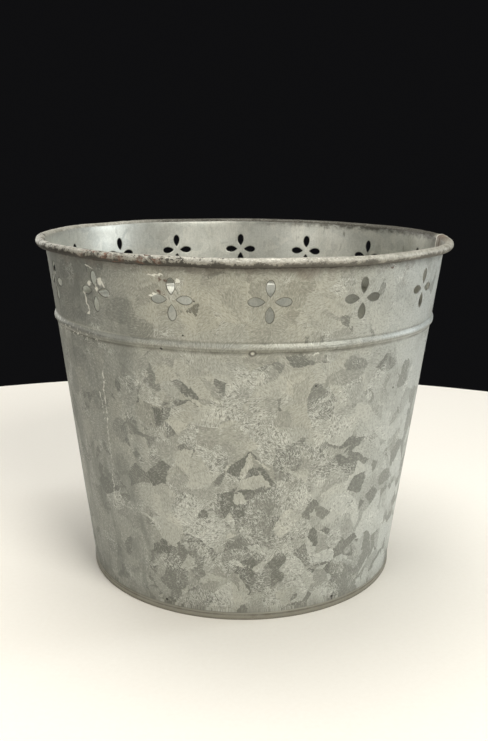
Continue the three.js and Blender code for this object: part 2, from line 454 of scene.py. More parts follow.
class Shell:
    """Collects the points and faces of the two sides of the body's sheet."""

    def __init__(self):
        self.sides = {1: [], -1: []}
        self.sheet = []
        self.edge = []
        self.count = 0

    def add_points(self, azimuth, radius, height, normal, curl, edge, along):
        for side, parts in self.sides.items():
            parts.append(wall_surface(azimuth, radius, height, normal, curl, edge, side))
        self.sheet.append(np.column_stack([np.radians(azimuth) * SHEET_RADIUS, along]) * MM)
        self.edge.append(edge)
        first = self.count
        self.count += len(azimuth)
        return first


def add_rows(shell, columns, path, along, curl_start):
    """Adds one row of points for each path point and returns the rows' first indices."""
    firsts = []
    ones = np.ones(len(columns))
    for i, ((radius, height), normal) in enumerate(zip(path, right_normals(path))):
        place = (columns, ones * radius, ones * height, ones[:, None] * normal)
        curl = np.full(len(columns), i >= curl_start)
        firsts.append(shell.add_points(*place, curl, ones * FAR, ones * along[i]))
    return firsts


def path_lengths(path, start):
    steps = np.linalg.norm(np.diff(np.asarray(path), axis=0), axis=1)
    return start + np.concatenate([[0], np.cumsum(steps)])


def row_quads(lower, upper, columns):
    size = len(columns)
    return [(lower + i, lower + (i + 1) % size, upper + (i + 1) % size, upper + i) for i in range(size)]


def body_shell(materials):
    """The whole rolled sheet. Its materials are in the order of the slots."""
    columns = wall_columns()
    below, above = wall_paths()
    points, triangles, outlines, row, side_rows = pierced_band(columns)
    shell = Shell()
    hook_end = len(hook_path())
    heights = [p[1] for p in below[hook_end:]]
    hook_along = path_lengths(below[: hook_end + 1], 0)[:-1]
    hook_along = hook_along - hook_along[-1] + CONE_START
    low = add_rows(shell, columns, below, list(hook_along) + heights, len(below))
    curl_start = len(above) - len(curl_path())
    above_along = path_lengths(above, above[0][1])
    high = add_rows(shell, columns, above, above_along, curl_start)

    normal = np.ones((len(points), 1)) * (math.cos(TILT), -math.sin(TILT))
    band_radius = CONE_FOOT_RADIUS + SLOPE * points[:, 1] - SHEET / 2 * math.cos(TILT)
    band_height = points[:, 1] + SHEET / 2 * math.sin(TILT)
    no_curl = np.zeros(len(points), bool)
    azimuths, heights, edges = points.T
    first = shell.add_points(azimuths, band_radius, band_height, normal, no_curl, edges, heights)

    # The band shares its first and last rows with the grids, and its wrapped column with its first one.
    index = np.arange(len(points)) + first
    index[: row - 1] = low[-1] + np.arange(row - 1)
    index[row - 1] = low[-1]
    index[row : 2 * row - 1] = high[0] + np.arange(row - 1)
    index[2 * row - 1] = high[0]
    start = 2 * row
    index[start + side_rows : start + 2 * side_rows] = index[start : start + side_rows]

    faces, inner_slots = [], []
    for rows, rim_from in ((low, len(low)), (high, curl_start)):
        for i, (lower, upper) in enumerate(zip(rows, rows[1:])):
            quads = row_quads(lower, upper, columns)
            faces += quads
            inner_slots += [RIM if i >= rim_from else INSIDE] * len(quads)
    band_faces = [tuple(f) for f in index[triangles]]
    faces += band_faces
    inner_slots += [INSIDE] * len(band_faces)

    total = shell.count
    all_faces = [tuple(int(i) for i in f) for f in faces]
    all_faces += [tuple(int(i) + total for i in reversed(f)) for f in faces]
    slots = [OUTSIDE] * len(faces) + inner_slots
    size = len(columns)
    rings = [range(low[0], low[0] + size)[::-1], range(high[-1], high[-1] + size)]
    rings += [[int(index[i]) for i in outline] for outline in outlines]
    edge_faces = []
    for ring in rings:
        edge_faces += [(a, b, b + total, a + total) for a, b in zip(ring, [*ring[1:], ring[0]])]
    all_faces += edge_faces
    slots += [CUT_EDGE] * len(edge_faces)

    vertices = np.vstack(shell.sides[1] + shell.sides[-1])
    sheet = np.vstack(shell.sheet * 2)
    edge = np.concatenate(shell.edge * 2)
    used = np.unique(np.concatenate([np.array(f) for f in all_faces]))
    renumber = np.full(len(vertices), -1)
    renumber[used] = np.arange(len(used))
    all_faces = [tuple(int(renumber[i]) for i in f) for f in all_faces]
    body = make_object("galvanised_body", vertices[used], all_faces, materials, slots)
    add_sheet_coordinates(body, sheet[used])
    near = body.data.attributes.new("petal_edge", "FLOAT", "POINT")
    near.data.foreach_set("value", (1 - smoothstep(0.0, 1.2, edge[used])).astype(np.float32))
    return body


def add_sheet_coordinates(piece, sheet):
    """A UV map in metres: along the sheet from the front, and up it."""
    mesh = piece.data
    layer = mesh.uv_layers.new(name="sheet")
    corners = np.empty(len(mesh.loops), np.int32)
    mesh.loops.foreach_get("vertex_index", corners)
    starts = np.empty(len(mesh.polygons), np.int32)
    mesh.polygons.foreach_get("loop_start", starts)
    uv = sheet[corners].copy()
    turn = 2 * math.pi * SHEET_RADIUS * MM
    lowest = np.minimum.reduceat(uv[:, 0], starts)
    highest = np.maximum.reduceat(uv[:, 0], starts)
    sizes = np.diff(np.append(starts, len(corners)))
    crosses = np.repeat(highest - lowest > turn / 2, sizes)
    uv[crosses & (uv[:, 0] < 0), 0] += turn
    layer.data.foreach_set("uv", uv.astype(np.float32).ravel())


# ---- The bottom pan, wire and sealant ----


def thickened(path):
    """The closed outline of a bent sheet that follows a path, from the path's right side to its left."""
    path = np.asarray(path, float)
    normals = right_normals(path)
    half = SHEET / 2
    right = path + normals * half
    left = path - normals * half
    return [tuple(p) for p in right] + [tuple(p) for p in left[::-1]]


def pan_path():
    floor = FLOOR_HEIGHT - SHEET / 2
    skirt, wall = seam_layer(0), seam_layer(4)
    foot = SHEET / 2 + FOOT_CORNER
    ring_low = FLOOR_RING_RADIUS - FLOOR_RING_WIDTH / 2
    ring_high = FLOOR_RING_RADIUS + FLOOR_RING_WIDTH / 2
    middle = [(ring_low * i / 8, floor) for i in range(8)]
    ring = []
    for share in np.linspace(0, 1, 13):
        rise = FLOOR_RING_RISE * float(smoothstep(0, 0.3, share) * (1 - smoothstep(0.7, 1, share)))
        ring.append((ring_low + (ring_high - ring_low) * share, floor + rise))
    outer = [(r, floor) for r in np.linspace(ring_high, wall - FLOOR_CORNER, 6)[1:-1]]
    corner = arc((wall - FLOOR_CORNER, floor - FLOOR_CORNER), FLOOR_CORNER, 90, 0, 6)
    inner_foot = arc((wall + FOOT_CORNER, foot), FOOT_CORNER, 180, 270, 6)
    outer_foot = arc((skirt - FOOT_CORNER, foot), FOOT_CORNER, -90, 0, 6)
    top = arc((seam_layer(1), SEAM_HEIGHT - SHEET / 2 - LAYER), LAYER, 0, 180, 12)
    heights = np.linspace(foot, top[0][1], 14)[1:-1]
    side = [(skirt - SEAM_GROOVE * math.exp(-(((z - SEAM_GROOVE_HEIGHT) / 0.3) ** 2)), z) for z in heights]
    hook = [(seam_layer(2), z) for z in np.linspace(top[-1][1], PAN_HOOK_BOTTOM, 4)[1:]]
    return middle + ring + outer + corner + inner_foot + outer_foot + side + top + hook


def seam_strays(azimuth, radius, height):
    """Small dents in the outside of the folded seam."""
    if radius < SEAM_RADIUS - 0.1:
        return 0.0, 0.0
    dents = wobble(31, azimuth, height, (10, 60), 0.8, 12)
    return 0.05 * (dents - 1.0), 0.0


def bottom_pan(material):
    return revolved("folded_bottom_pan", thickened(pan_path()), material, seam_strays)


def rim_wire(material):
    def strays(azimuth, radius, height):
        return rim_shift(azimuth)

    centre = (RIM_RADIUS - CURL_RADIUS, HEIGHT - CURL_RADIUS)
    return revolved("core_wire", arc(centre, WIRE_RADIUS, 0, 360, 16)[:-1], material, strays, 240)


def seam_sealant(material):
    centre = (seam_layer(1), BODY_HOOK_TOP + SEAM_GAP + SEALANT_SIZE / 2)
    return revolved("seam_sealant", arc(centre, SEALANT_SIZE / 2, 0, 360, 8)[:-1], material, None, 240)


# ---- Shader nodes ----


def rgb(*parts):
    """A colour given as 0-255 sRGB, for a shader socket."""
    values = [v / 255 for v in parts]
    return [v / 12.92 if v <= 0.04045 else ((v + 0.055) / 1.055) ** 2.4 for v in values] + [1.0]


def at(azimuth, height):
    """A place on the sheet, in the sheet's coordinates."""
    return around(azimuth), height * MM


def around(azimuth):
    """How far along the sheet an azimuth is, in metres."""
    return math.radians(azimuth) * SHEET_RADIUS * MM


class Value:
    """One output of a node, a number or a vector, and short ways to add the nodes that work on it."""

    def __init__(self, shader, socket):
        self.shader = shader
        self.socket = socket

    def made(self, output, kind, inputs, **settings):
        """One output of a new node."""
        return Value(self.shader, self.shader.node(kind, inputs, **settings).outputs[output])

    def vector(self, operation, other=(0.0, 0.0, 0.0), output="Vector"):
        return self.made(output, "VectorMath", {0: self, 1: other}, operation=operation)

    def math(self, operation, other=0.0):
        return self.made(0, "Math", {0: self, 1: other}, operation=operation)

    def joined(self, operation, other):
        return (self.vector if self.socket.type == "VECTOR" else self.math)(operation, other)

    def __add__(self, other):
        return self.joined("ADD", other)

    def __sub__(self, other):
        return self.joined("SUBTRACT", other)

    def __mul__(self, other):
        return self.joined("MULTIPLY", other)

    def __rsub__(self, other):
        return self * -1 + other

    def __abs__(self):
        return self.math("ABSOLUTE")

    __radd__ = __add__
    __rmul__ = __mul__

    def length(self):
        return self.vector("LENGTH", output="Value")

    def step(self, low, high, start=0.0, end=1.0):
        """A smooth step from start to end as the value goes from low to high."""
        inputs = {"Value": self, "From Min": low, "From Max": high, "To Min": start, "To Max": end}
        return self.made("Result", "MapRange", inputs, interpolation_type="SMOOTHSTEP")

    def within(self, low, full, fade, high, start=0.0):
        """1 from full to fade, and start below low and above high."""
        return self.step(low, full, start) * self.step(high, fade, start)

    def sector(self, *azimuths, start=0.0):
        """The same with azimuths, for a distance along the sheet."""
        return self.within(*(around(azimuth) for azimuth in azimuths), start)

    def noise(self, scale, detail=2.0, roughness=0.5):
        inputs = {"Vector": self, "Scale": scale, "Detail": detail, "Roughness": roughness}
        return self.made("Fac", "TexNoise", inputs)

    def wander(self, scale, detail, reach):
        """A vector that wanders by about reach metres."""
        inputs = {"Vector": self, "Scale": scale, "Detail": detail}
        colour = self.made("Color", "TexNoise", inputs)
        centred = colour.vector("SUBTRACT", (0.5, 0.5, 0.5))
        return self.made(0, "VectorMath", {0: centred, "Scale": 2 * reach}, operation="SCALE")

    def split(self, kind="SeparateXYZ"):
        return [Value(self.shader, socket) for socket in self.shader.node(kind, {0: self}).outputs]

    def cells(self, scale):
        """Three random values for every Voronoi cell."""
        colour = self.made("Color", "TexVoronoi", {"Vector": self, "Scale": scale})
        return colour.split("SeparateColor")

    def stretched(self, x=1.0, y=1.0, z=1.0):
        return self.made("Vector", "Mapping", {"Vector": self, "Scale": (x, y, z)})

    def spun(self, angle):
        """Coordinates turned by an angle that may vary from cell to cell."""
        inputs = {"Vector": self, "Angle": angle}
        return self.made("Vector", "VectorRotate", inputs, rotation_type="Z_AXIS")

    def spot(self, azimuth, height, radius, soft=0.5):
        """1 within a radius, in millimetres, of a place on the sheet."""
        distance = self.vector("DISTANCE", (*at(azimuth, height), 0.0), "Value")
        return distance.step(radius * MM * (1 + soft), radius * MM * (1 - soft))

    def patch(self, azimuth, height, wide, high, soft=0.35):
        """1 inside an oval patch with half-widths in millimetres."""
        moved = self - (*at(azimuth, height), 0.0)
        scaled = moved * (1 / (wide * MM), 1 / (high * MM), 0.0)
        return scaled.length().step(1 + soft, 1 - soft)

    def stroke(self, azimuth, height, end_azimuth, end_height, width):
        """1 on a straight scratch between two places."""
        (u0, v0), (u1, v1) = at(azimuth, height), at(end_azimuth, end_height)
        length, turn = math.hypot(u1 - u0, v1 - v0), math.atan2(v1 - v0, u1 - u0)
        moved = self - ((u0 + u1) / 2, (v0 + v1) / 2, 0.0)
        along, across, _ = moved.spun(-turn).split()
        on = abs(across).step(width * MM, width * MM * 0.3)
        return on * abs(along).step(length / 2, length * 0.4)


class Shader:
    """One material, the colour it has so far, and the nodes it is made of."""

    def __init__(self, name):
        self.material = bpy.data.materials.new(name)
        self.material.use_nodes = True
        self.tree = self.material.node_tree
        self.tree.nodes.clear()
        self.colour = None

    def put(self, socket, value):
        if isinstance(value, Value):
            self.tree.links.new(value.socket, socket)
        else:
            socket.default_value = value

    def node(self, kind, inputs, **settings):
        """Adds a node. Its inputs are given by name or number."""
        made = self.tree.nodes.new("ShaderNode" + kind)
        for name, setting in settings.items():
            setattr(made, name, setting)
        for name, value in inputs.items():
            self.put(made.inputs[name], value)
        return made

    def source(self, output, kind, **settings):
        return Value(self, self.node(kind, {}, **settings).outputs[output])

    def objects(self):
        """The object's coordinates in metres."""
        return self.source("Object", "TexCoord")

    def sheet(self):
        """The sheet's own coordinates in metres: along it from the front, up it, and 0."""
        return self.source("UV", "UVMap", uv_map="sheet")

    def petal_edge(self):
        """1 at the edge of a pierced petal, and 0 a little way from it."""
        return self.source("Fac", "Attribute", attribute_name="petal_edge")

    def mix(self, share, *pair):
        """A colour between two others."""
        made = self.node("Mix", {"Factor": share}, data_type="RGBA", clamp_factor=True)
        colours = [socket for socket in made.inputs if socket.type == "RGBA"]
        for socket, colour in zip(colours, pair):
            self.put(socket, colour if isinstance(colour, Value) else rgb(*colour))
        return Value(self, next(socket for socket in made.outputs if socket.type == "RGBA"))

    def paint(self, share, colour):
        """Covers a share of the material's colour with another."""
        self.colour = self.mix(share, self.colour, colour)

    def finish(self, roughness, metallic, height, depth):
        """Joins the values to the surface. height is 0 to 1, and depth is in metres."""
        bump = self.node("Bump", {"Strength": 1.0, "Distance": depth, "Height": height})
        inputs = {"Base Color": self.colour, "Roughness": roughness, "Metallic": metallic}
        inputs["Normal"] = Value(self, bump.outputs["Normal"])
        surface = self.node("BsdfPrincipled", inputs)
        self.node("OutputMaterial", {"Surface": Value(self, surface.outputs["BSDF"])})
        return self.material


def either(*values):
    """The largest of several values."""
    largest = values[0]
    for value in values[1:]:
        largest = largest.math("MAXIMUM", value)
    return largest


# ---- Materials ----


def spangle(where):
    """Zinc crystals: their tone, two random values, the fine grain and the grain's place."""
    drift = where.wander(100, 2, 0.0026)
    fray = where.wander(750, 3, 0.0008)
    warped = where + drift + fray
    large = warped.cells(54)
    direction = large[1] * 6.28
    shards = warped.spun(direction).stretched(y=0.42).cells(120)
    crossing = (warped + (0.31, 0.17, 0.0)).cells(80)
    tone = shards[0].math("MINIMUM", crossing[0])  # pointed pieces where two crystals cross
    turn = direction + shards[1] * 3.0
    grain_place = where.spun(turn).stretched(y=0.34)
    grain = grain_place.noise(1500, 3, 0.65)
    return tone, shards[1], crossing[2], grain, grain_place


def outside_material():
    """Weathered galvanising with large and small spangle, the dirt and scratches of use, and painted light
    and shade.
    """
    shader = Shader("galvanised_outside")
    where = shader.sheet()
    u, v, _ = where.split()
    tone, shade, other_shade, grain, grain_place = spangle(where)

    # Dark crystals are common low on the wall and rare on the band, and they come in clouds.
    cloud = where.noise(20, 2) - 0.5
    threshold = 0.5 + v.step(0.085, 0.172, 0.0, 0.27) - where.patch(-9, 84, 38, 42, 0.6) * 0.13
    threshold = threshold - where.patch(38, 66, 26, 22, 0.6) * 0.06 - cloud * 0.5
    over = tone - threshold
    dark = over.step(0.0, 0.012)
    half_dark = over.step(-0.22, -0.21) * (0.18 + shade * 0.45)

    light = shader.mix(shade, (158, 158, 147), (186, 185, 172))
    light = shader.mix(other_shade * 0.5, light, (168, 170, 163))
    # Painted reflection: the right side and its dark crystals are painted lighter and cooler, where the
    # light from the right falls.
    right = either(u.step(0.02, 0.13), u.step(around(-210), around(-255)))
    light = shader.mix(right, light, (187, 191, 187))
    # Lighter and cooler towards the bottom; at the lower right this is more of the painted reflection.
    light = shader.mix(v.step(0.130, 0.060, 0.0, 0.16), light, (206, 210, 206))
    low_right = u.step(0.01, 0.08) * v.step(0.11, 0.03)
    light = shader.mix(low_right * 0.3, light, (206, 210, 206))
    deep = shader.mix(other_shade, (106, 107, 100), (138, 139, 131))
    deep = shader.mix(right * 0.75, deep, (153, 156, 151))
    shader.colour = shader.mix(half_dark, light, deep)
    shader.paint(dark, deep)
    torn = where + where.wander(120, 4, 0.004)
    places = (
        (31.5, 151.5, 7, 4.5), (43.5, 148.5, 8, 4.5), (-60.5, 129, 6, 9), (-45.5, 124, 7, 6),
        (-38, 109.5, 6, 7), (-49, 30, 9, 5), (52, 76, 7, 5), (-33, 179, 9, 7),
        (-27, 171, 8, 6), (-50, 172, 8, 4), (-55, 196, 7, 5), (-54, 148, 8, 5),
    )
    broad = either(*(torn.patch(*place, 0.07) for place in places))
    shader.paint(broad * 0.6, (112, 114, 108))
    soft = where.noise(34, 3, 0.55)
    shader.paint(soft.step(0.5, 0.64, 0.0, 0.34), (144, 145, 138))
    # Painted shade: the left side, turned away from the light, is painted darker.
    left = u.step(-0.04, -0.09) * u.step(around(-170), around(-120))
    shader.paint(left * 0.56, (124, 127, 123))

    tan = abs(u + 0.006).step(0.08, 0.02) * v.step(0.15, 0.185)
    shader.paint(tan * 0.16, (174, 164, 130))

    # Every crystal has its own fine grain. Crinkled ones, mostly in front, glitter in lines.
    shader.paint(grain.step(0.5, 0.66, 0.0, 0.36), (210, 210, 199))
    shader.paint(grain.step(0.5, 0.34, 0.0, 0.42), (100, 101, 93))
    front_middle = abs(u - 0.006).step(0.09, 0.025) * v.step(0.165, 0.11)
    crinkle_field = other_shade * 0.16 + where.noise(52, 4, 0.65)
    crinkled = (crinkle_field + front_middle * 0.13).step(0.64, 0.76)
    ridges = (grain_place + (0.5, 0.3, 0.0)).noise(1000.0, 1.5, 0.55)
    ridge_line = abs(ridges - 0.5).step(0.05, 0.012)
    sparkle = ridge_line * crinkled
    hollow = ridges.step(0.43, 0.34) * crinkled
    shader.paint(sparkle * 0.5, (230, 232, 224))
    shader.paint(hollow * 0.5, (92, 94, 88))

    # Fine vertical brushing.
    brushed = where.stretched(y=0.13).noise(1100, 3, 0.65)
    shader.paint(brushed.step(0.4, 0.75, 0.0, 0.28), (138, 139, 130))

    # Soft stains, streaks down the left side, and darker marks under the rim, along the bead and over the
    # seam.
    stain = where.stretched(y=0.3).noise(70, 4, 0.6)
    streaks = stain.step(0.48, 0.62) * left.step(0.05, 0.5)
    shader.paint(streaks * 0.5, (112, 115, 109))
    ragged = (where.noise(150, 4, 0.7) - 0.5) * 0.012
    torn_height = v + ragged
    front = abs(u).step(0.115, 0.03, 0.45, 1.0)
    # A darker band under the rim, mostly in front: dirt and painted shade.
    under_rim = torn_height.step(0.2, 0.2055) * front
    shader.paint(under_rim * 0.66, (90, 82, 70))
    blotch = where.noise(85, 3, 0.6).step(0.54, 0.64) * v.step(0.186, 0.201)
    shader.paint(blotch * 0.34, (122, 116, 106))
    # Darker lines along the bead's edges: dirt and painted shade.
    below_bead = v.within(0.1592, 0.1606, 0.1612, 0.1627)
    above_bead = v.within(0.1655, 0.166, 0.1664, 0.1672)
    bead_dirt_and_shade = either(below_bead, above_bead * 0.5) * where.noise(90, 2).step(0.3, 0.6, 0.45, 1.0)
    shader.paint(bead_dirt_and_shade * 0.62, (92, 90, 80))
    # A painted shadow line along a crease in the bead's lower half.
    crease = abs(v - 0.1626).step(0.0007, 0.0002)
    shader.paint(crease * 0.42, (84, 82, 72))
    # A painted highlight along the top of the bead on the left side.
    lit_top = v.within(0.1636, 0.1646, 0.166, 0.1672)
    shader.paint(lit_top * left * 0.5, (210, 210, 198))
    # Darker towards the foot, over the seam.
    foot_darkening = torn_height.step(0.012, 0.005)
    shader.paint(foot_darkening * 0.3, (120, 117, 105))

    # The punched edges are thin and dark.
    shader.paint(shader.petal_edge().step(0.58, 0.9, 0.0, 0.8), (82, 81, 72))

    pits = outside_marks(shader, where)
    metallic = 0.52 - under_rim * 0.4
    roughness = 0.46 + grain * 0.16 + dark * 0.05 - sparkle * 0.12
    height = grain * 0.42 + brushed * 0.16 + ridges * crinkled * 0.45 - dark * 0.06 - pits * 0.6
    return shader.finish(roughness, metallic, height, 0.00018)


def outside_marks(shader, where):
    """Scratches, deposits, rust, a painted shadow line under the rim, a zinc pimple with a painted
    highlight and painted shade, and pinholes. Returns where the pinholes are.
    """
    wander = where.wander(150, 4, 0.0022)
    jitter = where.wander(620, 3, 0.0013)
    ragged = where + wander + jitter
    gaps = where.noise(330, 3, 0.6).step(0.42, 0.56, 0.15, 1.0)
    lines = (
        (-42, 146, -43, 116, 0.6), (-43, 117, -43.6, 88, 0.45), (-43.6, 89, -45, 60, 0.4),
        (-44.8, 132, -44.2, 112, 0.35), (15, 160.1, 20, 159.6, 0.35),
        (39.5, 204.3, 41.9, 201.2, 0.45),
    )
    scratches = either(*(ragged.stroke(*ends) for ends in lines)) * gaps
    shader.paint(scratches * 0.85, (222, 222, 212))
    lines = (
        (-46.1, 189.5, -44.7, 175, 0.6), (-40.8, 194.6, -41, 188.5, 0.55),
        (-38.9, 195.5, -37.3, 190, 0.6), (-23.8, 200.3, -19.3, 199.6, 0.5),
        (-65.2, 193, -64, 178, 0.5), (-44.5, 201.5, -41, 199, 0.45),
    )
    ovals = (
        (-42.9, 191.6, 1.5, 1.7), (-38.9, 193.2, 1.9, 2.3), (-40.5, 189.6, 1.2, 1.2),
        (-37, 186, 2.2, 0.6), (-45, 175.3, 1.1, 0.9), (-46, 186.2, 0.9, 1),
        (-16.2, 197.3, 1.2, 0.9), (-22.6, 189, 2.4, 0.8),
    )
    deposits = [ragged.stroke(*ends) for ends in lines] + [ragged.patch(*oval, 0.2) for oval in ovals]
    u, v, _ = where.split()
    on_bead = u.sector(-90, -80, -46, -40) * v.within(0.157, 0.159, 0.165, 0.167)
    flecks = where.noise(420, 3, 0.65).step(0.58, 0.63) * on_bead
    shader.paint(either(*deposits, flecks) * 0.9, (238, 237, 226))
    places = (
        (-20.3, 197.8, 1), (-18.9, 196.9, 0.8), (-20.8, 191.3, 1.1), (-19.7, 190.6, 0.7),
        (39.4, 202.3, 0.8),
    )
    rust = either(*(ragged.spot(*place) for place in places))
    shader.paint(rust * 0.8, (84, 52, 38))
    stain = ragged.patch(15.1, 201.8, 5.5, 3.0)
    shader.paint(stain * 0.35, (112, 100, 88))
    # A painted shadow: a thin dark line under the rolled rim, broken here and there.
    line_place = v + (where.noise(260, 3, 0.6) - 0.5) * 0.0022
    rim_shadow_line = line_place.step(0.2043, 0.2049) * u.sector(-110, -90, 10, 75, start=0.25)
    shader.paint(rim_shadow_line * 0.72, (44, 38, 31))
    places = (
        (-21.2, 161.3, 0.75), (-26, 7.4, 0.8), (19.5, 141.8, 0.5), (48.1, 132.7, 0.6),
        (-15.2, 169.2, 0.5), (-12, 187.4, 0.45), (33, 7, 1.1), (-44.2, 187.5, 0.8),
    )
    pits = either(*(where.spot(*place) for place in places))
    shader.paint(pits * 0.9, (34, 30, 26))
    # The pimple is painted: a painted highlight on its dome and a painted shade round it.
    pimple = where.spot(2.3, 161.0, 0.95)
    shader.paint(pimple, (214, 212, 200))
    ring = where.spot(2.3, 161.0, 1.9, 0.2) * (1.0 - pimple)
    shader.paint(ring * 0.6, (70, 66, 58))
    return pits


def lap_marks(shader, u, v):
    """The overlapping end on the inside: a browner flap with a bright raw edge, which is returned."""
    curl_end = (0.2128, 0.2116)
    flap = u.step(around(LAP_FRONT - 9), around(LAP_FRONT)) * v.step(*curl_end)
    shader.paint(flap * 0.75, (116, 102, 88))
    raw = u.step(around(LAP_BACK - 0.75), around(LAP_BACK - 0.55)) * v.step(*curl_end, 0.3, 1.0)
    shader.paint(raw * 0.95, (243, 239, 226))
    return raw


def inside_material():
    """The inside: smoother, duller zinc with faint mottling, a dark band in the top corner and painted
    shade at the back right.
    """
    shader = Shader("galvanised_inside")
    where = shader.sheet()
    u, v, _ = where.split()
    offset = where + (0.37, 0.21, 0.0)
    tone, shade, _, grain, _ = spangle(offset)
    shader.colour = shader.mix(shade, (187, 188, 179), (202, 201, 190))
    shader.paint(tone.step(0.6, 0.62, 0.0, 0.3), (150, 151, 143))
    cloud = offset.stretched(y=0.5).noise(50, 4, 0.6)
    shader.paint(cloud.step(0.48, 0.68, 0.0, 0.38), (150, 149, 136))
    shader.paint(grain.step(0.5, 0.66, 0.0, 0.25), (220, 219, 210))
    shader.paint(grain.step(0.5, 0.34, 0.0, 0.25), (132, 132, 124))
    brushed = offset.stretched(y=0.13).noise(900, 3, 0.6)
    shader.paint(brushed.step(0.4, 0.8, 0.0, 0.22), (132, 132, 122))
    ragged = (where.noise(170, 4, 0.7) - 0.5) * 0.011
    back_inside = u.step(around(-165), around(-215), 0.10, 1.0)
    # A dark band under the inner lip on the far side.
    lip = (v + ragged).step(0.2045, 0.2085) * back_inside
    shader.paint(lip * 0.85, (64, 60, 50))
    drip_noise = where.stretched(y=0.3).noise(150, 3, 0.6)
    drips = drip_noise.step(0.6, 0.68) * (v.step(0.17, 0.205) * (0.2 + back_inside))
    shader.paint(drips * 0.5, (98, 96, 84))
    shader.paint(shader.petal_edge().step(0.5, 0.97, 0.0, 0.6), (60, 58, 50))
    shader.paint(v.step(0.060, 0.006) * 0.4, (112, 108, 96))
    # Painted shade on the inside at the back right: a band beside the lap and a broad patch lower down.
    beside = u.step(around(-252), around(-266)) * (v + ragged).step(0.19, 0.205)
    shader.paint(beside * 0.6, (66, 62, 52))
    shade_patch_place = where + where.wander(90, 4, 0.006)
    painted_shade_patch = shade_patch_place.patch(-242, 162, 46, 24, 0.4)
    shader.paint(painted_shade_patch * 0.5, (98, 97, 88))
    raw = lap_marks(shader, u, v)
    metallic = 0.62 - raw * 0.55
    roughness = 0.33 + grain * 0.16
    height = grain * 0.45 + brushed * 0.25
    return shader.finish(roughness, metallic, height, 0.00012)


def rim_material():
    """The rolled rim: chipped zinc with painted glints, painted shade on its lower half, dirt and some rust
    at the front left, and cleaner zinc at the right.
    """
    shader = Shader("rolled_rim_zinc")
    where = shader.sheet()
    u, v, _ = where.split()
    cloud = where.noise(150, 4, 0.65)
    fine = where.noise(620, 4, 0.7)
    field = cloud * 0.5 + fine * 0.5
    shader.colour = shader.mix(fine.step(0.3, 0.7), (150, 147, 135), (196, 193, 181))
    shader.paint(cloud.step(0.48, 0.58, 0.0, 0.5), (134, 130, 116))

    # Most of the dirt is at the front left and on the far side, where the rim is also darker. The lower
    # half of the roll has painted shade, and its dark belt is dirt and painted shade.
    front_left = u.sector(-96, -80, -12, 14)
    far = u.sector(-266, -262, -155, -130)
    dirty = either(front_left, far)
    level = 0.66 - dirty * 0.145
    specks = field.step(level, level + 0.035) * (0.5 + dirty * 0.4)
    ragged = v + (field - 0.5) * 0.014
    # Painted shade: the lower half of the roll is painted darker.
    shader.paint(v.step(0.2142, 0.217, 0.0, 0.45), (112, 106, 92))
    worst = front_left * u.step(around(-30), around(-52))
    belt_start = 0.2154 + (front_left * 0.0004 - worst * 0.0009)
    belt = ragged.step(belt_start, belt_start + 0.0012) * (0.7 + (worst * 0.08 + front_left * 0.22))
    grime_and_shade = either(specks, belt)
    shader.paint(grime_and_shade * 0.96, (40, 36, 29))
    inner_lip = far * ragged.step(0.2134, 0.2116)
    shader.paint(inner_lip * 0.85, (52, 49, 41))
    shader.paint(far * 0.3, (92, 89, 78))

    rust_field = (where + (0.9, 0.4, 0.0)).noise(210, 5, 0.7)
    main_rust = u.sector(-44, -38, -32, -27)
    small_rust = u.sector(-26, -23, -21, -18)
    zone = either(main_rust, small_rust * 0.8) * v.step(0.2122, 0.2138)
    rust = rust_field.step(0.5, 0.58) * zone
    rust_colour = shader.mix(fine.step(0.4, 0.6), (68, 39, 26), (140, 88, 60))
    shader.paint(rust * 0.85, rust_colour)

    # Bright zinc chips and painted glints on the upper half, most of them in front.
    chips_and_glints_field = where.stretched(x=0.5).noise(1100, 2, 0.6)
    in_front = abs(u + 0.006).step(0.09, 0.025, 0.15, 1.0)
    chips_and_glints = chips_and_glints_field.step(0.565, 0.62) * v.step(0.2156, 0.2144) * in_front
    shader.paint(chips_and_glints * 0.8, (232, 229, 216))
    brown_end = u.step(around(68), around(86)) * v.step(0.213, 0.2118, 0.15, 1.0)
    shader.paint(brown_end * 0.6, (126, 114, 98))
    raw = lap_marks(shader, u, v)
    worn = either(grime_and_shade, rust)
    metallic = 0.32 - either(worn, raw) * 0.3
    roughness = 0.5 + worn * 0.3
    height = fine * 0.6 + cloud * 0.4 + chips_and_glints * 0.3
    return shader.finish(roughness, metallic, height, 0.0006)


def cut_edge_material():
    """The sheared edge of the sheet, tarnished where it was punched."""
    shader = Shader("cut_edge")
    mottle = shader.objects().noise(900, 3, 0.6)
    shader.colour = shader.mix(mottle, (78, 76, 68), (128, 126, 114))
    roughness = 0.42 + mottle * 0.25
    return shader.finish(roughness, 0.6, mottle, 0.00008)


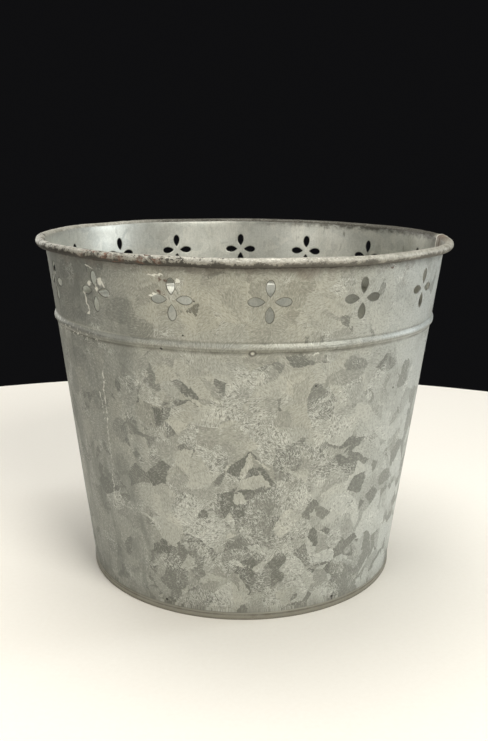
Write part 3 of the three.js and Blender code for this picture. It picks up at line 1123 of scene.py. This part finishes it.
def pan_material():
    """The bottom pan: browner, dirtier zinc, rubbed bright in places along the seam."""
    shader = Shader("pan_zinc")
    where = shader.objects()
    _, _, z = where.split()
    warped = where + where.wander(120, 3, 0.003)
    crystal = warped.cells(115)
    inside = (where * (1.0, 1.0, 0.0)).length().step(0.0966, 0.0962)
    shader.colour = shader.mix(crystal[0] * inside, (146, 144, 132), (166, 165, 153))
    patches = crystal[1].step(0.7, 0.73, 0.0, 0.4) * inside
    shader.paint(patches, (126, 124, 114))
    mottle = where.noise(130, 4, 0.65)
    shader.paint(mottle.step(0.45, 0.7, 0.0, 0.45), (128, 121, 106))
    fine = where.stretched(z=2.5).noise(700, 3, 0.65)
    shader.paint(fine.step(0.6, 0.76, 0.0, 0.45), (196, 191, 176))
    # Painted shade: a dark line in the seam's groove.
    from_groove = abs(z - (SEAM_GROOVE_HEIGHT - 0.1) * MM)
    groove = from_groove.step(0.0006, 0.0002) * mottle.step(0.3, 0.55, 0.4, 1.0)
    shader.paint(groove * 0.55, (84, 80, 68))
    foot = (z + mottle * 0.002).step(0.0028, 0.0012)
    shader.paint(foot * 0.5, (96, 88, 74))
    roughness = 0.45 + mottle * 0.2
    height = fine * 0.4 + mottle * 0.6
    return shader.finish(roughness, 0.55, height, 0.0003)


def wire_material():
    """Drawn steel wire with rust starting on it."""
    shader = Shader("core_wire_steel")
    rust = shader.objects().noise(260, 4, 0.65)
    shader.colour = shader.mix(rust.step(0.42, 0.62), (120, 116, 108), (104, 66, 46))
    roughness = 0.4 + rust * 0.4
    return shader.finish(roughness, 0.7, rust, 0.0001)


def sealant_material():
    """Dark grey seam compound."""
    shader = Shader("seam_compound_grey")
    lumps = shader.objects().noise(1200, 3, 0.6)
    shader.colour = shader.mix(lumps, (62, 62, 60), (88, 88, 84))
    return shader.finish(0.7 + lumps * 0.2, 0.0, lumps, 0.0001)


# ---- Floor, light and camera ----


def floor():
    """A plain pale disc to stand on. It ends behind the bucket, so that the holes open on the dark."""
    shader = Shader("pale_floor")
    paper = shader.objects().noise(400, 3, 0.6)
    shader.colour = shader.mix(paper, (236, 231, 221), (242, 238, 229))
    material = shader.finish(0.85, 0.0, paper, 0.00005)
    radius, under = 700.0, -4.0
    outline = [(0.0, under), (radius, under), (radius, 0.0), (0.0, 0.0)]
    disc = revolved("floor", outline, material, columns=128)
    disc.location.y = -0.25


def area_light(name, place, target, size, power, colour):
    data = bpy.data.lights.new(name, "AREA")
    data.shape = "DISK"
    data.size = size
    data.energy = power
    data.color = colour
    lamp = bpy.data.objects.new(name, data)
    lamp.location = place
    lamp.visible_camera = False
    lamp.rotation_euler = (Vector(target) - Vector(place)).to_track_quat("-Z", "Y").to_euler()
    bpy.context.scene.collection.objects.link(lamp)


def lights():
    middle = (0.0, 0.0, 0.10)
    area_light("key", (0.75, -1.15, 1.15), middle, 0.9, 22.5, (1.0, 0.985, 0.94))
    area_light("fill", (-1.1, -1.1, 0.75), middle, 1.2, 7.5, (1.0, 0.98, 0.95))
    area_light("ceiling", (-0.1, 0.15, 1.5), (0.0, 0.0, 0.2), 1.0, 16.0, (1.0, 0.99, 0.96))
    area_light("window", (1.25, 0.21, 0.40), (0.0, 0.0, 0.2), 0.32, 4.6, (0.88, 0.94, 1.0))
    area_light("back", (-0.80, 1.15, 0.45), middle, 0.9, 5.0, (1.0, 0.99, 0.96))
    world = bpy.data.worlds.new("dark_room")
    world.use_nodes = True
    world.node_tree.nodes["Background"].inputs["Color"].default_value = (0.005, 0.005, 0.0055, 1.0)
    bpy.context.scene.world = world
    bpy.context.scene.view_settings.view_transform = "Standard"


def camera():
    """Just above the rim, looking down a little, and turned by half a degree in the hand."""
    pitch, yaw, roll = 0.2504, 0.001, 0.0104
    ahead = Vector((math.sin(yaw) * math.cos(pitch), math.cos(yaw) * math.cos(pitch), -math.sin(pitch)))
    level = ahead.cross(Vector((0, 0, 1))).normalized()
    upright = level.cross(ahead)
    right = level * math.cos(roll) + upright * math.sin(roll)
    up = upright * math.cos(roll) - level * math.sin(roll)
    data = bpy.data.cameras.new("camera")
    data.lens = 41.75
    data.sensor_width = 36.0
    data.clip_start = 0.01
    eye = bpy.data.objects.new("camera", data)
    turn = Matrix((right, up, -ahead)).transposed().to_4x4()
    place = Vector((0.0, -538.7, 260.1)) * MM
    eye.matrix_world = Matrix.Translation(place) @ turn
    bpy.context.scene.collection.objects.link(eye)
    bpy.context.scene.camera = eye


# ---- The bucket ----

camera()
lights()
floor()

body = body_shell([outside_material(), inside_material(), rim_material(), cut_edge_material()])
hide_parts("body_wall")
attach(body, "root")

pan = bottom_pan(pan_material())
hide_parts("bottom_pan")
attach(pan, "root")

wire = rim_wire(wire_material())
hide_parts("rim_wire")
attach(wire, "root")

sealant = seam_sealant(sealant_material())
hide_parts("bottom_seam_sealant")
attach(sealant, "root")
